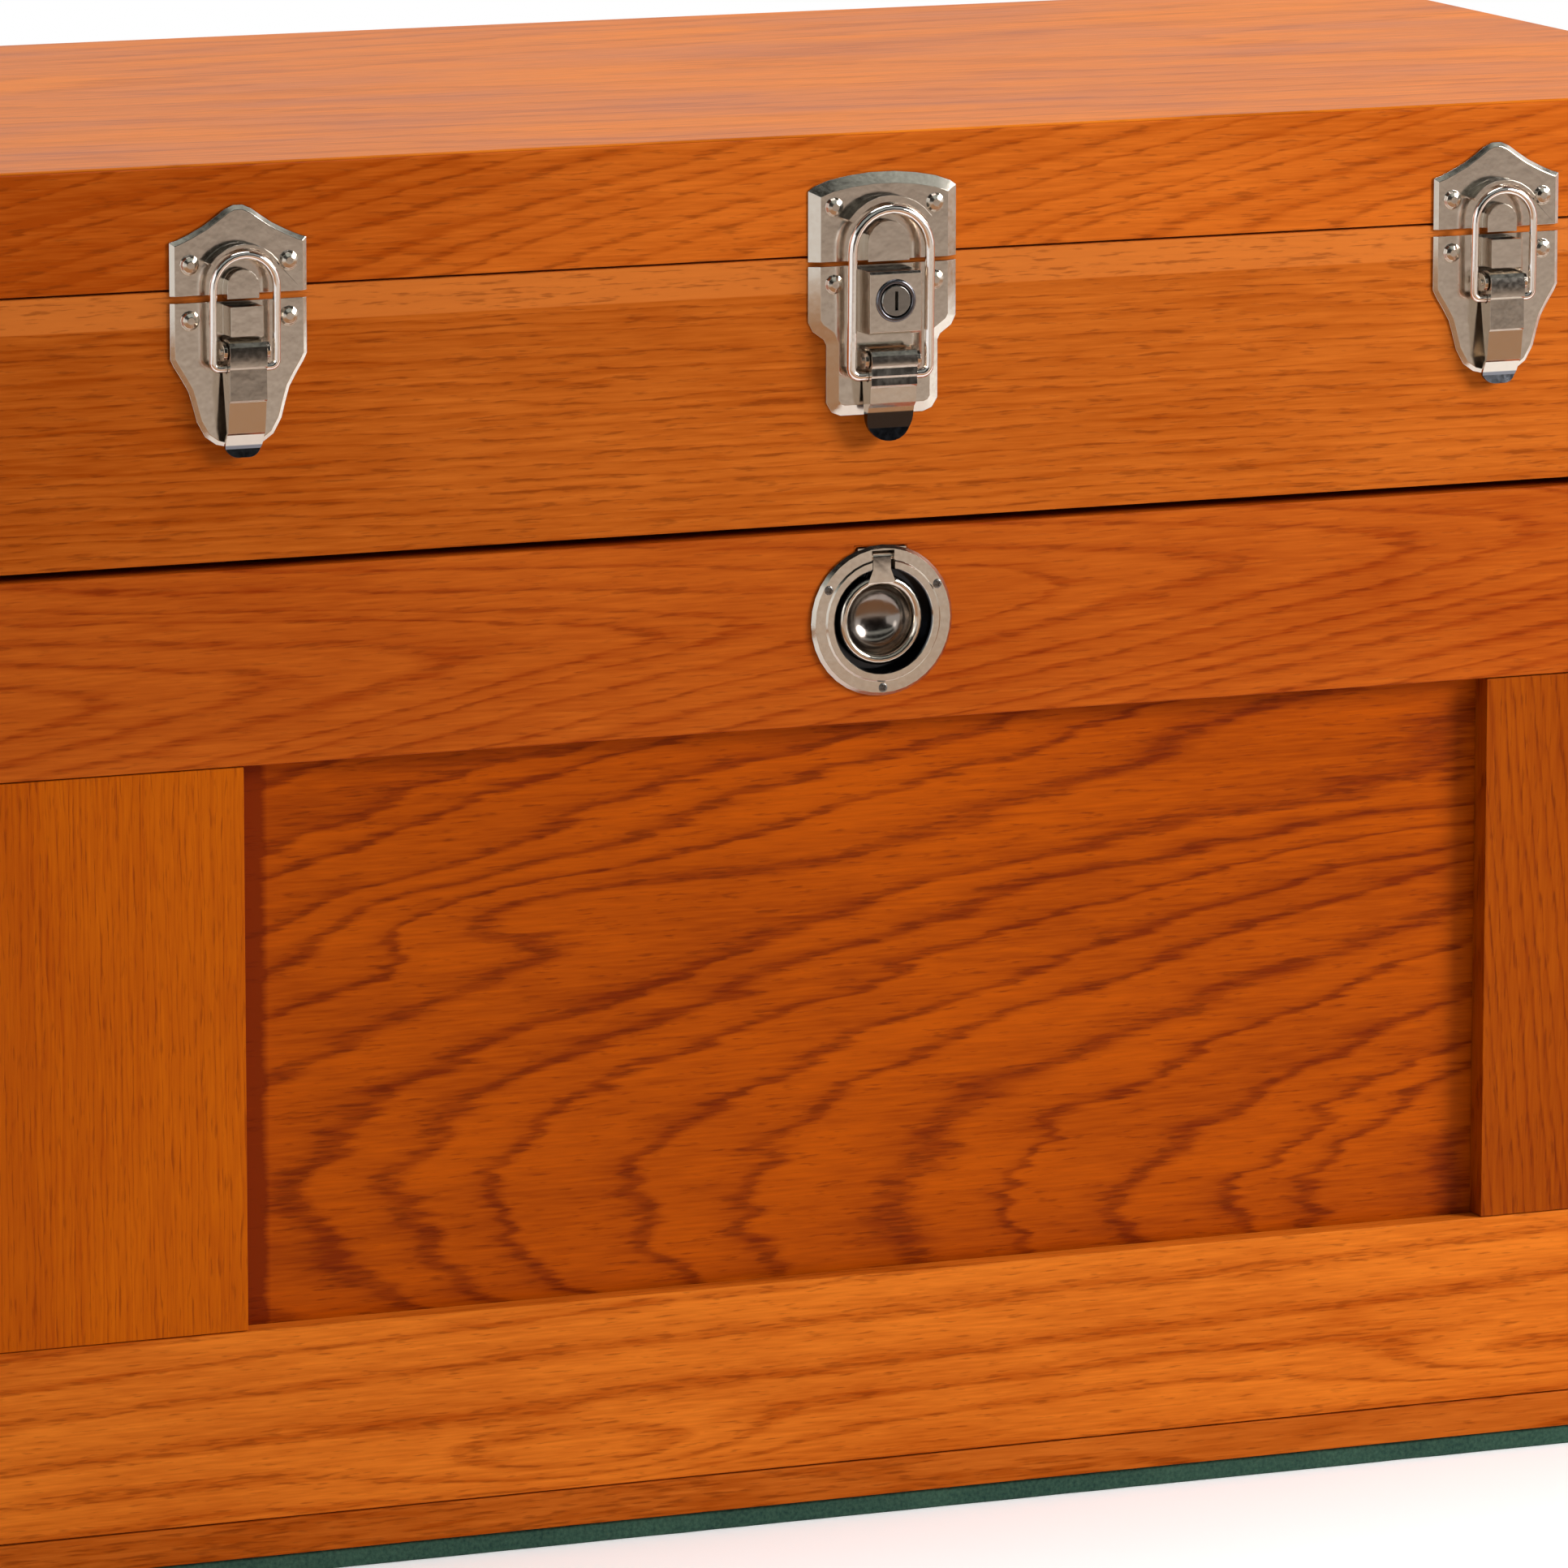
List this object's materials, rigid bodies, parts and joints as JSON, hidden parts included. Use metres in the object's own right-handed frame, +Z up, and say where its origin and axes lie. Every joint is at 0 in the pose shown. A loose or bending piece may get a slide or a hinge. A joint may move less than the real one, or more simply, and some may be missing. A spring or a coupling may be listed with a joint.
{
  "type": "carpenter's tool chest",
  "caption": "Oak tool chest with a hinged lid over a till, a tilting framed front panel over stacked drawers and a felt-lined well, draw latches and side handles.",
  "frame": {"origin": "centre of the chest's footprint on the floor, on the lower face of the felt pad", "axes": "+X to the right along the width, -Y out of the front panel, +Z up"},
  "size_m": [0.637, 0.3296, 0.4053],
  "materials": {
    "oak": "amber oak under a satin lacquer",
    "oak_panel": "darker flat-sawn oak under a satin lacquer",
    "oak_inside": "pale unstained oak",
    "felt": "dark green wool felt",
    "nickel": "bright nickel plating",
    "steel": "satin steel"
  },
  "bodies": {
    "case": {"bottom_felt_pad": "felt", "bottom_board": "oak", "left_side_board": "oak", "right_side_board": "oak", "back_board": "oak", "apron_board": "oak", "till_floor": "oak_inside", "upper_drawer_divider": "oak_inside", "middle_drawer_divider": "oak_inside", "lower_drawer_divider": "oak_inside", "left_latch_base": "nickel", "middle_latch_base": "nickel", "right_latch_base": "nickel", "left_hinge_lower_leaf": "steel", "right_hinge_lower_leaf": "steel", "left_hinge_pin": "steel", "right_hinge_pin": "steel", "left_handle_plate": "nickel", "right_handle_plate": "nickel"},
    "lid": {"lid_top_board": "oak", "lid_front_board": "oak", "lid_back_board": "oak", "lid_left_board": "oak", "lid_right_board": "oak", "left_latch_catch": "nickel", "middle_latch_catch": "nickel", "right_latch_catch": "nickel", "left_hinge_upper_leaf": "steel", "right_hinge_upper_leaf": "steel"},
    "front_panel": {"panel_top_rail": "oak", "panel_bottom_rail": "oak", "panel_left_stile": "oak", "panel_right_stile": "oak", "panel_field": "oak_panel", "ring_pull_cup": "nickel"},
    "pull_ring": {"ring_pull_ring": "nickel"},
    "lock": {"lock_plug": "steel"},
    "left_lever": {"left_latch_lever": "nickel"},
    "left_bail": {"left_latch_bail": "nickel"},
    "middle_lever": {"middle_latch_lever": "nickel"},
    "middle_bail": {"middle_latch_bail": "nickel"},
    "right_lever": {"right_latch_lever": "nickel"},
    "right_bail": {"right_latch_bail": "nickel"},
    "left_handle": {"left_handle_bail": "nickel"},
    "right_handle": {"right_handle_bail": "nickel"},
    "upper_drawer": {"upper_drawer_front": "oak", "upper_drawer_box": "oak_inside", "upper_drawer_bottom": "oak_inside", "upper_drawer_left_knob": "nickel", "upper_drawer_right_knob": "nickel"},
    "middle_drawer": {"middle_drawer_front": "oak", "middle_drawer_box": "oak_inside", "middle_drawer_bottom": "oak_inside", "middle_drawer_left_knob": "nickel", "middle_drawer_right_knob": "nickel"},
    "lower_drawer": {"lower_drawer_front": "oak", "lower_drawer_box": "oak_inside", "lower_drawer_bottom": "oak_inside", "lower_drawer_left_knob": "nickel", "lower_drawer_right_knob": "nickel"}
  },
  "joints": [
    {"name": "lid_hinge", "type": "hinge", "parent": "case", "child": "lid", "pos_m": [0, 0.1594, 0.3703], "axis": [-1, 0, 0], "range_deg": [0, 100]},
    {"name": "front_panel_tilt", "type": "hinge", "parent": "case", "child": "front_panel", "pos_m": [0, -0.156, 0.0169], "axis": [1, 0, 0], "range_deg": [0, 85]},
    {"name": "ring_pull_swing", "type": "hinge", "parent": "front_panel", "child": "pull_ring", "pos_m": [0, -0.1554, 0.28255], "axis": [-1, 0, 0], "range_deg": [0, 90]},
    {"name": "lock_plug_turn", "type": "hinge", "parent": "case", "child": "lock", "pos_m": [0, -0.156, 0.358], "axis": [0, -1, 0], "range_deg": [0, 90]},
    {"name": "left_lever_swing", "type": "hinge", "parent": "case", "child": "left_lever", "pos_m": [-0.195, -0.1616, 0.3532], "axis": [-1, 0, 0], "range_deg": [0, 95]},
    {"name": "left_bail_swing", "type": "hinge", "parent": "left_lever", "child": "left_bail", "pos_m": [-0.195, -0.1616, 0.3485], "axis": [-1, 0, 0], "range_deg": [-120, 0]},
    {"name": "right_lever_swing", "type": "hinge", "parent": "case", "child": "right_lever", "pos_m": [0.195, -0.1616, 0.3532], "axis": [-1, 0, 0], "range_deg": [0, 95]},
    {"name": "right_bail_swing", "type": "hinge", "parent": "right_lever", "child": "right_bail", "pos_m": [0.195, -0.1616, 0.3485], "axis": [-1, 0, 0], "range_deg": [-120, 0]},
    {"name": "middle_lever_swing", "type": "hinge", "parent": "case", "child": "middle_lever", "pos_m": [0, -0.1624, 0.3407], "axis": [-1, 0, 0], "range_deg": [0, 110]},
    {"name": "middle_bail_swing", "type": "hinge", "parent": "middle_lever", "child": "middle_bail", "pos_m": [0, -0.1624, 0.3362], "axis": [-1, 0, 0], "range_deg": [-135, 0]},
    {"name": "left_handle_swing", "type": "hinge", "parent": "case", "child": "left_handle", "pos_m": [-0.3125, 0, 0.322], "axis": [0, 1, 0], "range_deg": [0, 90]},
    {"name": "right_handle_swing", "type": "hinge", "parent": "case", "child": "right_handle", "pos_m": [0.3125, 0, 0.322], "axis": [0, -1, 0], "range_deg": [0, 90]},
    {"name": "upper_drawer_slide", "type": "slide", "parent": "case", "child": "upper_drawer", "axis": [0, -1, 0], "range_m": [0, 0.23]},
    {"name": "middle_drawer_slide", "type": "slide", "parent": "case", "child": "middle_drawer", "axis": [0, -1, 0], "range_m": [0, 0.21]},
    {"name": "lower_drawer_slide", "type": "slide", "parent": "case", "child": "lower_drawer", "axis": [0, -1, 0], "range_m": [0, 0.18]}
  ],
  "couplings": [
    {"joint": "left_bail_swing", "follows": "left_lever_swing", "ratio": -1.25},
    {"joint": "right_bail_swing", "follows": "right_lever_swing", "ratio": -1.25},
    {"joint": "middle_bail_swing", "follows": "middle_lever_swing", "ratio": -1.2},
    {"joint": "upper_drawer_slide", "follows": "front_panel_tilt", "m_per_rad": 0.15},
    {"joint": "middle_drawer_slide", "follows": "front_panel_tilt", "m_per_rad": 0.135},
    {"joint": "lower_drawer_slide", "follows": "front_panel_tilt", "m_per_rad": 0.115}
  ]
}
